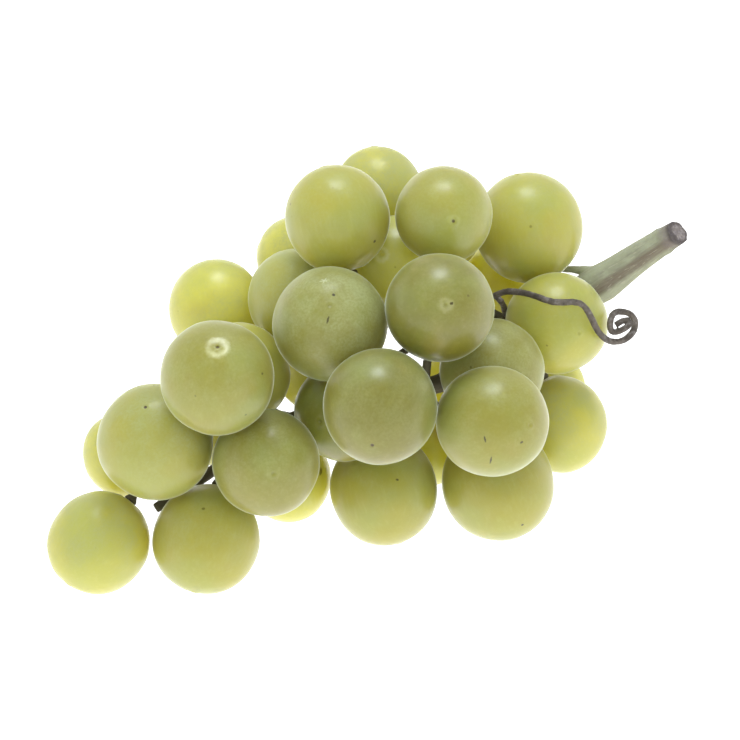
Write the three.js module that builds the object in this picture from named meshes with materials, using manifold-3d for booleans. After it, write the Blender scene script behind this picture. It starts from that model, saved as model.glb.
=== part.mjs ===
// A small bunch of white grapes, as cut from the vine, lying on its side on a table.
// Millimetres, +Z up. The table is z = 0, the bunch's length runs along X with its cut stalk
// towards +X, and the origin is under the middle of the bunch.
//
// Each grape is a solid of its own, held just clear of its neighbours. The stalk is one solid:
// peduncle, rachis and the pedicels that branch off it. The tendril is the dry brown one beside it.

import * as THREE from "three";
import { mergeVertices } from "three/addons/utils/BufferGeometryUtils.js";
import Module from "manifold-3d";

const wasm = await Module();
wasm.setup();

// How the bunch was looked at when the places were read: from this far away, looking down this
// steeply, with the middle of the view this high above the table.
const VIEW_DISTANCE = 500;
const VIEW_DOWN = THREE.MathUtils.degToRad(40);
const VIEW_CENTRE_HEIGHT = 32.5;
// Turn about the vertical that lays the bunch's length along X.
const HEADING = THREE.MathUtils.degToRad(-26);

const CLEARANCE = 0.3; // between any two solids

const GRAPE_ASPECT = 1.04; // a grape's length over its width
const GRAPE_SIDES = 12;
const GRAPE_RINGS = 7;
const STEM_DIMPLE = 0.35; // depth of the dimple where the pedicel meets the grape
const SCAR_RADIUS = 0.8; // the little raised scar of the blossom, at the other end
const SCAR_HEIGHT = 0.15;
const REST_SINK = 0.45; // how far a grape that rests on the table is pressed flat

const PEDICEL_RADIUS = 0.7; // where it carries a single grape
const PEDICEL_GROWTH = 0.3; // its radius grows with the number of grapes it carries, to this power
const PEDICEL_MOST = 1.0; // and never exceeds this
const PEDICEL_LEAD = 2.2; // how far it runs straight out of its grape
const PEDICEL_SIDES = 5;
const RECEPTACLE_RADIUS = 1.35; // the swollen end of a pedicel, where its grape sits
const RECEPTACLE_LENGTH = 1.5;
const RACHIS_SIDES = 9;
const TENDRIL_RADIUS = 0.66;
const SPUR_RADIUS = 0.75; // of the stump that the tendril grows from
const TENDRIL_SIDES = 6;

// One entry for each grape, as seen: how far across and up from the middle of the view, how
// far towards the viewer, and its width. `rests` marks those that lie on the table. `scar` is
// where the scar of the blossom is seen on a grape that shows it, as shares of the grape's
// radius across and up.
const GRAPES = [
  { across: 1.9, up: 31.1, toward: -19, width: 15.6 },
  { across: -5.7, up: 26.7, toward: 4, width: 18.4 },
  { across: 12.9, up: 27.2, toward: 3.5, width: 17.2, scar: [0.37, 0.1] },
  { across: 28.1, up: 24.8, toward: -18, width: 19.1 },
  { across: 32.9, up: 8.5, toward: -10.5, width: 18.0 },
  { across: 12.3, up: 11.0, toward: 18.5, width: 19.4, scar: [0.05, -0.07] },
  { across: -7.0, up: 7.9, toward: 11, width: 20.3, scar: [0.06, 0.44] },
  { across: -12.9, up: 12.0, toward: -7, width: 17.7 },
  { across: -27.1, up: 10.8, toward: -17, width: 17.0 },
  { across: -26.9, up: -1.6, toward: 20, width: 20.2, scar: [0, 0.61] },
  { across: -23.0, up: -0.5, toward: 1, width: 17.7 },
  { across: -12.7, up: 20.2, toward: -21, width: 14.2 },
  { across: -37.3, up: -12.8, toward: 8, width: 20.6, scar: [-0.3, 0.66] },
  { across: -43.2, up: -15.0, toward: -11, width: 14.9 },
  { across: -47.4, up: -30.0, toward: -0.4, width: 17.8, rests: true },
  { across: -29.7, up: -29.4, toward: -0.3, width: 18.9, rests: true },
  { across: -19.1, up: -16.0, toward: 10.5, width: 19.0 },
  { across: -14.2, up: -19.8, toward: -14.8, width: 15.4, rests: true },
  { across: -4.4, up: -7.4, toward: 0, width: 17.7 },
  { across: 1.9, up: -6.4, toward: 23.5, width: 20.3, scar: [-0.05, -0.58] },
  { across: 2.4, up: -21.4, toward: -10.2, width: 19.1, rests: true },
  { across: 21.5, up: -9.1, toward: 19.5, width: 19.8 },
  { across: 22.1, up: -19.6, toward: -11.6, width: 19.9, rests: true },
  { across: 33.6, up: -9.6, toward: -22, width: 16.6 },
  { across: 21.6, up: 0.0, toward: 2, width: 18.4 },
  { across: 31.7, up: -2.4, toward: -37, width: 12.4, rests: true },
  { across: 4.8, up: 19.6, toward: -8, width: 16.4, scar: [-0.1, 0.02] },
  { across: 22.6, up: 14.9, toward: -32, width: 16.4 },
  { across: 11.0, up: -14.0, toward: -23.2, width: 13.0, rests: true },
  { across: -9.2, up: 0.0, toward: -18, width: 14.9 },
  { across: 15.6, up: -3.2, toward: -34.8, width: 14.9, rests: true },
  // From here on they are out of sight, at the back and underneath.
  { across: -4.3, up: -4.9, toward: -32.6, width: 15.0, rests: true },
  { across: -25.0, up: -9.8, toward: -26, width: 15.6, rests: true },
  { across: -1.5, up: 13.6, toward: -32, width: 15.6 },
  { across: 13.0, up: 24.5, toward: -27, width: 14.0 },
  { across: -16.0, up: 5.0, toward: -34.3, width: 15.0 },
  { across: 10.8, up: 11.4, toward: -42.4, width: 15.0 },
];

// The peduncle and the rachis in the same way, from the cut end to the tip, with their radius.
const RACHIS = [
  { across: 55.6, up: 25.0, toward: -17, radius: 2.1 },
  { across: 52.9, up: 23.4, toward: -17.7, radius: 2.3 },
  { across: 47.9, up: 20.2, toward: -19, radius: 2.7 },
  { across: 43.6, up: 17.2, toward: -20, radius: 3.1 },
  { across: 40.4, up: 15.0, toward: -20.6, radius: 3.6 },
  { across: 35.5, up: 12.9, toward: -22, radius: 2.6 },
  { across: 29.5, up: 11.6, toward: -21.8, radius: 1.9 },
  { across: 25.0, up: 8.6, toward: -19.5, radius: 1.85 },
  { across: 20.0, up: 3.5, toward: -13.5, radius: 1.8 },
  { across: 16.0, up: 0.0, toward: -9.5, radius: 1.75 },
  { across: 11.8, up: -2.6, toward: -6.5, radius: 1.7 },
  { across: 3.0, up: -4.0, toward: -9.5, radius: 1.6 },
  { across: -6.0, up: -7.0, toward: -11.8, radius: 1.4 },
  { across: -14.2, up: -8.6, toward: -8, radius: 1.2 },
  { across: -22.0, up: -13.5, toward: -6, radius: 1.1 },
  { across: -30.0, up: -19.4, toward: -7.2, radius: 1.0 },
  { across: -38.0, up: -24.5, toward: -6.0, radius: 0.9 },
];

// A pruned twig that flares out of the foot of the peduncle, in the same way.
const TWIG = [
  { across: 43.0, up: 17.2, toward: -20.3, radius: 2.1 },
  { across: 39.5, up: 17.1, toward: -22.0, radius: 1.5 },
  { across: 36.8, up: 17.7, toward: -23.6, radius: 0.8 },
  { across: 33.2, up: 17.9, toward: -25.4, radius: 0.45 },
];

// The tendril in the same way, from its root near the rachis, over a grape, to the curl.
const TENDRIL = [
  { across: 24.1, up: 9.8, toward: -16.8 },
  { across: 23.0, up: 12.0, toward: -12.2 },
  { across: 22.4, up: 12.9, toward: -9.0 },
  { across: 22.4, up: 13.3, toward: -6.0 },
  { across: 24.4, up: 13.9, toward: -3.8 },
  { across: 28.2, up: 13.4, toward: -2 },
  { across: 32.4, up: 12.0, toward: -0.6 },
  { across: 37.0, up: 11.8, toward: -1.6 },
  { across: 38.5, up: 10.1, toward: -2.6 },
  { across: 40.1, up: 6.9, toward: -4 },
  { across: 42.3, up: 5.1, toward: -5.5 },
  { across: 45.0, up: 5.3, toward: -6.6 },
  { across: 46.7, up: 7.0, toward: -7.2 },
  { across: 46.9, up: 8.8, toward: -7.4 },
  { across: 45.7, up: 10.1, toward: -7.4 },
  { across: 43.8, up: 10.3, toward: -7 },
  { across: 42.5, up: 9.2, toward: -6.2 },
  { across: 42.3, up: 7.7, toward: -5.2 },
  { across: 43.1, up: 6.7, toward: -4.4 },
  { across: 45.0, up: 7.3, toward: -3.9 },
  { across: 46.5, up: 8.6, toward: -4.2 },
];
const TENDRIL_FORK = [
  { across: 46.1, up: 8.8, toward: -4.3 },
  { across: 44.7, up: 8.7, toward: -4.7 },
  { across: 43.4, up: 7.9, toward: -4.8 },
];

const sinDown = Math.sin(VIEW_DOWN);
const cosDown = Math.cos(VIEW_DOWN);
const VERTICAL = new THREE.Vector3(0, 0, 1);

// A direction of the view, as a direction on the table.
function turned(across, up, toward) {
  return new THREE.Vector3(
    across,
    up * sinDown - toward * cosDown,
    up * cosDown + toward * sinDown,
  ).applyAxisAngle(VERTICAL, HEADING);
}

const TOWARD_VIEWER = turned(0, 0, 1);
const EYE = placedInDepth(VIEW_DISTANCE);

// The point over the table in the middle of the view that is this far towards the viewer.
function placedInDepth(toward) {
  const point = turned(0, 0, toward);
  point.z += VIEW_CENTRE_HEIGHT;
  return point;
}

// What is nearer to the viewer looks larger.
function scaleAt(toward) {
  return 1 - toward / VIEW_DISTANCE;
}

// A point of the view, as a point over the table.
function placed({ across, up, toward }) {
  const scale = scaleAt(toward);
  const point = turned(across * scale, up * scale, toward);
  point.z += VIEW_CENTRE_HEIGHT;
  return point;
}

// The grapes' places, with neighbours that would overlap pushed apart. Most of each push goes
// to and from the viewer, so that the grapes are still seen where they were read.
function settledGrapes() {
  const ROUNDS = 800;
  const PUSH_ACROSS = 0.1;
  const grapes = GRAPES.map((seen) => ({
    seen,
    centre: placed(seen),
    radius: (seen.width / 2) * scaleAt(seen.toward),
    axis: new THREE.Vector3(),
  }));
  const apart = new THREE.Vector3();
  const push = new THREE.Vector3();
  for (let round = 0; round < ROUNDS; round++) {
    grapes.forEach((a, i) => {
      for (const b of grapes.slice(i + 1)) {
        apart.subVectors(b.centre, a.centre);
        const wanted = (a.radius + b.radius) * ((1 + GRAPE_ASPECT) / 2) + CLEARANCE;
        const short = wanted - apart.length();
        if (short <= 0) continue;
        apart.normalize();
        const deep = apart.dot(TOWARD_VIEWER);
        push.copy(apart).multiplyScalar(PUSH_ACROSS);
        push.addScaledVector(TOWARD_VIEWER, deep * (1 - PUSH_ACROSS));
        a.centre.addScaledVector(push, -short / 2);
        b.centre.addScaledVector(push, short / 2);
      }
    });
    for (const grape of grapes) {
      if (grape.seen.rests) grape.centre.z = grape.radius - REST_SINK;
    }
  }
  return grapes;
}

// Directions spread evenly all round.
function spreadDirections(count) {
  const GOLDEN_TURN = Math.PI * (3 - Math.sqrt(5));
  return Array.from({ length: count }, (_, i) => {
    const z = 1 - (2 * i + 1) / count;
    const ring = Math.sqrt(1 - z * z);
    return new THREE.Vector3(ring * Math.cos(i * GOLDEN_TURN), ring * Math.sin(i * GOLDEN_TURN), z);
  });
}

// Whether a straight run of this radius keeps clear of the table and of every grape but one.
function isClear(from, to, radius, grapes, except) {
  const room = radius + CLEARANCE;
  if (Math.min(from.z, to.z) < room) return false;
  const run = new THREE.Line3(from, to);
  const nearest = new THREE.Vector3();
  return grapes.every((grape) => {
    if (grape === except) return true;
    run.closestPointToPoint(grape.centre, true, nearest);
    return nearest.distanceTo(grape.centre) >= grape.radius * GRAPE_ASPECT + room;
  });
}

// Whether no grape stands between a point and the viewer.
function isSeen(point, grapes) {
  const sight = new THREE.Line3(point, EYE);
  const nearest = new THREE.Vector3();
  return grapes.every((grape) => {
    sight.closestPointToPoint(grape.centre, true, nearest);
    return nearest.distanceTo(grape.centre) > grape.radius;
  });
}

// How many of a few places along a straight run are seen.
function seenPlaces(from, to, grapes) {
  const SHARES = [0, 0.25, 0.5, 0.75, 1];
  return SHARES.filter((share) => isSeen(from.clone().lerp(to, share), grapes)).length;
}

// The directions in which a grape's pedicel may leave it, each with what it costs: any, or near
// to straight opposite the scar where that is seen.
function stemDirections(grape, all) {
  if (!grape.seen.scar) return all.map((direction) => ({ direction, cost: 0 }));
  const SCAR_CONE = Math.cos(THREE.MathUtils.degToRad(24));
  const STRAY_COST = 90;
  const [across, up] = grape.seen.scar;
  const back = turned(across, up, Math.sqrt(1 - across ** 2 - up ** 2)).negate();
  return [back, ...all]
    .filter((direction) => direction.dot(back) > SCAR_CONE)
    .map((direction) => ({ direction, cost: (1 - direction.dot(back)) * STRAY_COST }));
}

// The stalk's pedicels, grown one by one. From the grape nearest to the rachis outwards, each
// one joins the stalk so far where its run is short, clear of the grapes, little bent and
// leaning towards the bunch's tip. Sets each grape's axis, from its stem end to its scar.
function grownPedicels(grapes, rachisCurve) {
  const SPACING = 2.5; // of the places along a stem where another can join it
  const DIRECTIONS = 400;
  const BEND_COST = 5;
  const LEAN_COST = 4;
  const CROWD_COST = 2;
  const SEEN_COST = 8; // pedicels keep out of sight where they can
  const FIRST_JOIN = 0.17; // share of the rachis where the first pedicel may leave it
  const nodes = [];
  const count = Math.round(rachisCurve.getLength() / SPACING);
  for (let i = Math.ceil(count * FIRST_JOIN); i <= count; i++) {
    nodes.push({
      point: rachisCurve.getPointAt(i / count),
      along: rachisCurve.getTangentAt(i / count),
      parent: null,
      carried: 0,
      joins: 0,
    });
  }
  const rachisNodes = [...nodes];
  const nearness = (grape) => Math.min(
    ...rachisNodes.map((node) => node.point.distanceTo(grape.centre) - grape.radius),
  );
  const ordered = [...grapes].sort((a, b) => nearness(a) - nearness(b));
  const all = spreadDirections(DIRECTIONS);

  return ordered.map((grape) => {
    let best = { cost: Infinity };
    for (const { direction, cost: stray } of stemDirections(grape, all)) {
      const pole = grape.radius * GRAPE_ASPECT;
      const end = grape.centre.clone().addScaledVector(direction, pole - STEM_DIMPLE + CLEARANCE);
      const lead = grape.centre.clone().addScaledVector(direction, pole + PEDICEL_LEAD);
      const scar = grape.centre.clone().addScaledVector(direction, -pole - SCAR_HEIGHT);
      if (!isClear(end, lead, RECEPTACLE_RADIUS, grapes, grape)) continue;
      if (!grape.seen.rests && !isClear(scar, scar, 0, grapes, grape)) continue;
      for (const node of nodes) {
        const run = new THREE.Vector3().subVectors(lead, node.point);
        const length = run.length();
        const bend = 1 + run.dot(direction) / length;
        const lean = 1 - run.dot(node.along) / length;
        let cost = stray + length + bend * BEND_COST + lean * LEAN_COST;
        cost += node.joins * CROWD_COST;
        if (cost >= best.cost) continue;
        if (!isClear(lead, node.point, PEDICEL_MOST, grapes, null)) continue;
        cost += seenPlaces(lead, node.point, grapes) * SEEN_COST;
        if (cost >= best.cost) continue;
        best = { cost, node, direction, end, lead };
      }
    }
    grape.axis.copy(best.direction).negate();

    const root = best.node;
    root.joins += 1;
    const along = new THREE.Vector3().subVectors(best.lead, root.point);
    const steps = Math.max(2, Math.round(along.length() / SPACING));
    const chain = [];
    for (let step = 1; step < steps; step++) {
      chain.push({
        point: root.point.clone().lerp(best.lead, step / steps),
        along: along.clone().normalize(),
        parent: chain.at(-1) ?? root,
        carried: 0,
        joins: 0,
      });
    }
    nodes.push(...chain);
    for (let node = chain.at(-1); node; node = node.parent) node.carried += 1;
    return { root, chain, lead: best.lead, end: best.end, direction: best.direction };
  });
}

// A closed tube along a curve. Its radius runs evenly from each of the given ones to the next.
function tube(points, radii, sides, steps) {
  const curve = new THREE.CatmullRomCurve3(points, false, "centripetal");
  const positions = [];
  const ring = new THREE.Vector3();
  const turn = new THREE.Quaternion();
  let tangent = curve.getTangent(0);
  const outward = Math.abs(tangent.z) < 0.9 ? VERTICAL.clone() : new THREE.Vector3(1, 0, 0);
  outward.addScaledVector(tangent, -outward.dot(tangent)).normalize();
  for (let step = 0; step <= steps; step++) {
    const share = step / steps;
    const next = curve.getTangent(share);
    outward.applyQuaternion(turn.setFromUnitVectors(tangent, next));
    tangent = next;
    const at = share * (radii.length - 1);
    const before = Math.min(Math.floor(at), radii.length - 2);
    const radius = THREE.MathUtils.lerp(radii[before], radii[before + 1], at - before);
    const centre = curve.getPoint(share);
    for (let side = 0; side < sides; side++) {
      ring.copy(outward).applyAxisAngle(tangent, (side / sides) * 2 * Math.PI);
      ring.multiplyScalar(radius).add(centre);
      positions.push(ring.x, ring.y, ring.z);
    }
  }
  const first = positions.length / 3;
  positions.push(...points[0].toArray(), ...points.at(-1).toArray());
  const index = [];
  for (let side = 0; side < sides; side++) {
    const beside = (side + 1) % sides;
    const last = steps * sides;
    index.push(first, beside, side);
    index.push(first + 1, last + side, last + beside);
    for (let step = 0; step < steps; step++) {
      const here = step * sides;
      const there = here + sides;
      index.push(here + side, here + beside, there + beside);
      index.push(here + side, there + beside, there + side);
    }
  }
  const geometry = new THREE.BufferGeometry();
  geometry.setAttribute("position", new THREE.Float32BufferAttribute(positions, 3));
  geometry.setIndex(index);
  return geometry;
}

// A closed body made from a geometry whose faces meet only where their corners match.
function solid(geometry) {
  const bare = new THREE.BufferGeometry();
  bare.setAttribute("position", geometry.getAttribute("position"));
  bare.setIndex(geometry.getIndex());
  const merged = mergeVertices(bare);
  const corners = merged.getIndex().array;
  const kept = [];
  for (let i = 0; i < corners.length; i += 3) {
    const [a, b, c] = corners.slice(i, i + 3);
    if (a !== b && b !== c && c !== a) kept.push(a, b, c);
  }
  return new wasm.Manifold(new wasm.Mesh({
    numProp: 3,
    vertProperties: new Float32Array(merged.getAttribute("position").array),
    triVerts: new Uint32Array(kept),
  }));
}

// A body as a named mesh of the bunch.
function mesh(name, body, material) {
  const { vertProperties, triVerts } = body.getMesh();
  const geometry = new THREE.BufferGeometry();
  geometry.setAttribute("position", new THREE.BufferAttribute(vertProperties, 3));
  geometry.setIndex(new THREE.BufferAttribute(triVerts, 1));
  geometry.computeVertexNormals();
  const made = new THREE.Mesh(geometry, material);
  made.name = name;
  return made;
}

// A turned shape, from its profile along the axis, set at a point with its axis along a direction.
function turnedShape(profile, sides, at, direction) {
  const geometry = new THREE.LatheGeometry(
    profile.map(([radius, height]) => new THREE.Vector2(radius, height)),
    sides,
  );
  geometry.applyQuaternion(
    new THREE.Quaternion().setFromUnitVectors(new THREE.Vector3(0, 1, 0), direction),
  );
  geometry.translate(at.x, at.y, at.z);
  return solid(geometry);
}

function grapeBody(grape) {
  const pole = grape.radius * GRAPE_ASPECT;
  const profile = [[0, STEM_DIMPLE - pole]];
  for (let ring = 1; ring < GRAPE_RINGS; ring++) {
    const turn = (ring / GRAPE_RINGS) * Math.PI;
    profile.push([grape.radius * Math.sin(turn), -pole * Math.cos(turn)]);
  }
  const scarTurn = Math.asin(SCAR_RADIUS / grape.radius);
  profile.push([SCAR_RADIUS, pole * Math.cos(scarTurn)]);
  profile.push([0, pole + SCAR_HEIGHT]);
  const body = turnedShape(profile, GRAPE_SIDES, grape.centre, grape.axis);
  return grape.seen.rests ? body.subtract(underTable()) : body;
}

function underTable() {
  const SIZE = 300;
  return wasm.Manifold.cube([SIZE, SIZE, SIZE], true).translate(0, 0, -SIZE / 2);
}

function receptacleBody(pedicel) {
  const neck = PEDICEL_RADIUS * 0.8;
  const face = RECEPTACLE_RADIUS * 0.9;
  const widest = RECEPTACLE_LENGTH * 0.3;
  const profile = [
    [0, 0],
    [face, 0],
    [RECEPTACLE_RADIUS, widest],
    [neck, RECEPTACLE_LENGTH],
    [0, RECEPTACLE_LENGTH],
  ];
  const SIDES = 6;
  return turnedShape(profile, SIDES, pedicel.end, pedicel.direction);
}

// A pedicel is thicker where it carries more grapes.
function pedicelBody(pedicel) {
  const points = [
    pedicel.root.point,
    ...pedicel.chain.map((node) => node.point),
    pedicel.lead,
    pedicel.end.clone().addScaledVector(pedicel.direction, RECEPTACLE_LENGTH / 2),
  ];
  const thickness = (carried) => Math.min(PEDICEL_MOST, PEDICEL_RADIUS * carried ** PEDICEL_GROWTH);
  const radii = [
    thickness(pedicel.chain[0].carried),
    ...pedicel.chain.map((node) => thickness(node.carried)),
    PEDICEL_RADIUS,
    PEDICEL_RADIUS,
  ];
  return solid(tube(points, radii, PEDICEL_SIDES, points.length));
}

// The stump on the rachis that the tendril grows from.
function spurBody(rachisCurve, [start, next]) {
  const GAP = CLEARANCE * 1.5;
  const BEND = GAP + 0.7;
  const SAMPLES = 100;
  const forward = new THREE.Vector3().subVectors(next, start).normalize();
  const end = start.clone().addScaledVector(forward, -GAP);
  const bend = start.clone().addScaledVector(forward, -BEND);
  const root = rachisCurve.getSpacedPoints(SAMPLES).reduce(
    (nearest, point) => (point.distanceTo(end) < nearest.distanceTo(end) ? point : nearest),
  );
  return solid(tube([root, bend, end], [SPUR_RADIUS, SPUR_RADIUS, SPUR_RADIUS], PEDICEL_SIDES, 4));
}

function stalkBody(grapes) {
  const rachisPoints = RACHIS.map(placed);
  const rachisCurve = new THREE.CatmullRomCurve3(rachisPoints, false, "centripetal");
  const rachisRadii = RACHIS.map((seen) => seen.radius * scaleAt(seen.toward));
  const STEPS = 34;
  const bodies = [solid(tube(rachisPoints, rachisRadii, RACHIS_SIDES, STEPS))];
  for (const pedicel of grownPedicels(grapes, rachisCurve)) {
    bodies.push(pedicelBody(pedicel), receptacleBody(pedicel));
  }
  const twigRadii = TWIG.map((seen) => seen.radius);
  bodies.push(solid(tube(TWIG.map(placed), twigRadii, RACHIS_SIDES, TWIG.length * 2)));
  bodies.push(spurBody(rachisCurve, tendrilPoints(grapes)));
  return bodies.reduce((all, body) => all.add(body));
}

// The tendril's places, brought towards the viewer where a grape is in the way.
function tendrilPoints(grapes) {
  const STEP = 0.1;
  const room = TENDRIL_RADIUS + 2 * CLEARANCE;
  return TENDRIL.map((seen) => {
    const point = placed(seen);
    while (!isClear(point, point, room, grapes, null)) point.addScaledVector(TOWARD_VIEWER, STEP);
    return point;
  });
}

function tendrilBody(points) {
  const STEPS = 60;
  const FORK_STEPS = 4;
  const radii = points.map(() => TENDRIL_RADIUS);
  const main = solid(tube(points, radii, TENDRIL_SIDES, STEPS));
  const forkRadii = TENDRIL_FORK.map(() => TENDRIL_RADIUS);
  const fork = solid(tube(TENDRIL_FORK.map(placed), forkRadii, TENDRIL_SIDES, FORK_STEPS));
  return main.add(fork);
}

function skin() {
  return new THREE.MeshStandardMaterial({ color: 0xa9ad4e, roughness: 0.45, metalness: 0 });
}

function greenStem() {
  return new THREE.MeshStandardMaterial({ color: 0x9aa272, roughness: 0.7, metalness: 0 });
}

function dryStem() {
  return new THREE.MeshStandardMaterial({ color: 0x564c42, roughness: 0.8, metalness: 0 });
}

// Sets the bunch down with the middle of its box over the origin.
function centre(group) {
  const middle = new THREE.Box3().setFromObject(group).getCenter(new THREE.Vector3());
  for (const part of group.children) part.geometry.translate(-middle.x, -middle.y, 0);
}

const grapes = settledGrapes();
const stalk = stalkBody(grapes);
const bunch = new THREE.Group();
grapes.forEach((grape, i) => {
  bunch.add(mesh("grape_" + String(i + 1).padStart(2, "0"), grapeBody(grape), skin()));
});
bunch.add(mesh("stalk", stalk, greenStem()));
bunch.add(mesh("tendril", tendrilBody(tendrilPoints(grapes)), dryStem()));
centre(bunch);

export default bunch;
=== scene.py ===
"""The looks of a small bunch of white grapes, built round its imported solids. Metres, +Z up."""

import math
import random

import bpy
import numpy as np
from mathutils import Matrix, Quaternion, Vector, noise


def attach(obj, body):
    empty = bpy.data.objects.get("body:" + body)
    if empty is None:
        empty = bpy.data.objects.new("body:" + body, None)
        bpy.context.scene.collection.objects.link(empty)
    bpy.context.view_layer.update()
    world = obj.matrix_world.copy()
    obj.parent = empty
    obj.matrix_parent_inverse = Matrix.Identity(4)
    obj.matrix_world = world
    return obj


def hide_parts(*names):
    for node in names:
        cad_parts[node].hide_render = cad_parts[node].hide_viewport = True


bl_info = {
    "name": "Bunch of White Grapes",
    "version": (1, 0, 0),
    "blender": (4, 5, 0),
    "location": "View3D > Sidebar > Grapes",
    "description": "Dresses the solids of a bunch of grapes: its berries, stalk, tendril and stage",
    "category": "Object",
}

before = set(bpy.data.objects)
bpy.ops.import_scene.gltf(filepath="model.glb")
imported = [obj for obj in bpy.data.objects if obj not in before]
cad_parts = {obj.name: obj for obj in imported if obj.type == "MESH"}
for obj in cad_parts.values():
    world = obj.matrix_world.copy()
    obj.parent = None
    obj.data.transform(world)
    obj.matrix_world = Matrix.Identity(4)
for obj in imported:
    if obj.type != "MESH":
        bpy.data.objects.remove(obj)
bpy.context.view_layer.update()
MM = 0.001

# How the bunch is looked at: the middle of the view, and the turn and tilt of the camera.
VIEW_MIDDLE = Vector((-2.670, -2.651, 32.5)) * MM
VIEW_AZIMUTH = math.radians(-26)
VIEW_ELEVATION = math.radians(40)
VIEW_DISTANCE = 500 * MM
VIEW_WIDTH = 131 * MM
LAMP_COLOUR = (0.86, 0.93, 1.0)

BERRY_ASPECT = 1.04  # a berry's length over its width, as in the solids
BERRIES = 37


# Places in the view

def view_axes():
    """The view's directions on the table: across, up and towards the viewer."""
    turn = Matrix.Rotation(VIEW_AZIMUTH, 3, "Z")
    low, high = math.sin(VIEW_ELEVATION), math.cos(VIEW_ELEVATION)
    return turn @ Vector((1, 0, 0)), turn @ Vector((0, low, high)), turn @ Vector((0, -high, low))


ACROSS, UP, TOWARD = view_axes()


def seen(across, up, toward):
    """The point over the table that is seen so many millimetres across and up from the middle."""
    scale = 1 - toward * MM / VIEW_DISTANCE
    offset = ACROSS * (across * scale) + UP * (up * scale) + TOWARD * toward
    return VIEW_MIDDLE + offset * MM


# Shader helpers

DUST_ROUGHNESS = 0.7
DUST_GLOSS = 0.3


class Socket:
    """A node's output. Python's operators on it add Math nodes."""

    def __init__(self, nodes, output):
        self.nodes = nodes
        self.output = output

    def maths(self, operation, *values):
        return self.nodes.node("ShaderNodeMath", {"operation": operation}, values)

    def __add__(self, other):
        return self.maths("ADD", self, other)

    def __radd__(self, other):
        return self.maths("ADD", other, self)

    def __sub__(self, other):
        return self.maths("SUBTRACT", self, other)

    def __rsub__(self, other):
        return self.maths("SUBTRACT", other, self)

    def __mul__(self, other):
        return self.maths("MULTIPLY", self, other)

    def __rmul__(self, other):
        return self.maths("MULTIPLY", other, self)

    def __pow__(self, other):
        return self.maths("POWER", self, other)

    def absolute(self):
        return self.maths("ABSOLUTE", self)

    def at_least(self, other):
        return self.maths("MAXIMUM", self, other)

    def step(self, low, high):
        """0 below low and 1 above high, smooth between them. low may be the higher one."""
        sockets = {"Value": self, "From Min": low, "From Max": high}
        return self.nodes.node("ShaderNodeMapRange", {"interpolation_type": "SMOOTHSTEP"}, sockets)


class Nodes:
    """A material's or a world's tree of nodes."""

    def __init__(self, tree):
        self.tree = tree

    def node(self, kind, settings=None, sockets=(), output=0):
        """A new node with these settings and these values or links of its sockets."""
        made = self.tree.nodes.new(kind)
        for name, value in (settings or {}).items():
            setattr(made, name, value)
        pairs = sockets.items() if isinstance(sockets, dict) else enumerate(sockets)
        for key, value in pairs:
            if isinstance(value, Socket):
                self.tree.links.new(value.output, made.inputs[key])
            else:
                made.inputs[key].default_value = value
        return Socket(self, made.outputs[output])


class Shader(Nodes):
    """A new material with a Principled shader, and short ways to add nodes to it."""

    def __init__(self, name, **constants):
        self.material = bpy.data.materials.new(name)
        self.material.use_nodes = True
        super().__init__(self.material.node_tree)
        self.surface = self.tree.nodes["Principled BSDF"]
        for socket, value in constants.items():
            self.surface.inputs[socket.replace("_", " ")].default_value = value

    def vector(self, operation, *values, output=0):
        return self.node("ShaderNodeVectorMath", {"operation": operation}, values, output)

    def dot(self, a, b):
        return self.vector("DOT_PRODUCT", a, b, output="Value")

    def place(self):
        return self.node("ShaderNodeTexCoord", output="Object")

    def mix(self, factor, a, b):
        """Colour a where factor is 0 and colour b where it is 1."""
        values = {"Factor": factor, 6: rgba(a), 7: rgba(b)}
        return self.node("ShaderNodeMix", {"data_type": "RGBA"}, values, output=2)

    def noise(self, place, scale, detail=3.0, roughness=0.5):
        sockets = {"Vector": place, "Scale": scale, "Detail": detail, "Roughness": roughness}
        return self.node("ShaderNodeTexNoise", None, sockets)

    def finish(self, colour, roughness, height, depth):
        """Links the varying colour and roughness, and height as a bump of this depth."""
        bump = self.node(
            "ShaderNodeBump", None, {"Strength": 1.0, "Distance": depth, "Height": height}
        )
        for name, socket in (("Base Color", colour), ("Roughness", roughness), ("Normal", bump)):
            self.tree.links.new(socket.output, self.surface.inputs[name])
        return self.material

    def dust(self, amount, colour):
        """Lays a dull, dusty layer over the finished surface, as thick as amount says."""
        layer = self.node("ShaderNodeBsdfPrincipled", None, {
            "Base Color": rgba(colour),
            "Roughness": DUST_ROUGHNESS,
            "Specular IOR Level": DUST_GLOSS,
            "Normal": Socket(self, self.surface.inputs["Normal"].links[0].from_socket),
        })
        skin = Socket(self, self.surface.outputs[0])
        dusted = self.node("ShaderNodeMixShader", None, (amount, skin, layer))
        self.tree.links.new(dusted.output, self.tree.nodes["Material Output"].inputs["Surface"])


def rgba(colour):
    return colour if isinstance(colour, Socket) else (*colour, 1)


def blended(a, b, share):
    return tuple(x + (y - x) * share for x, y in zip(a, b))


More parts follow.
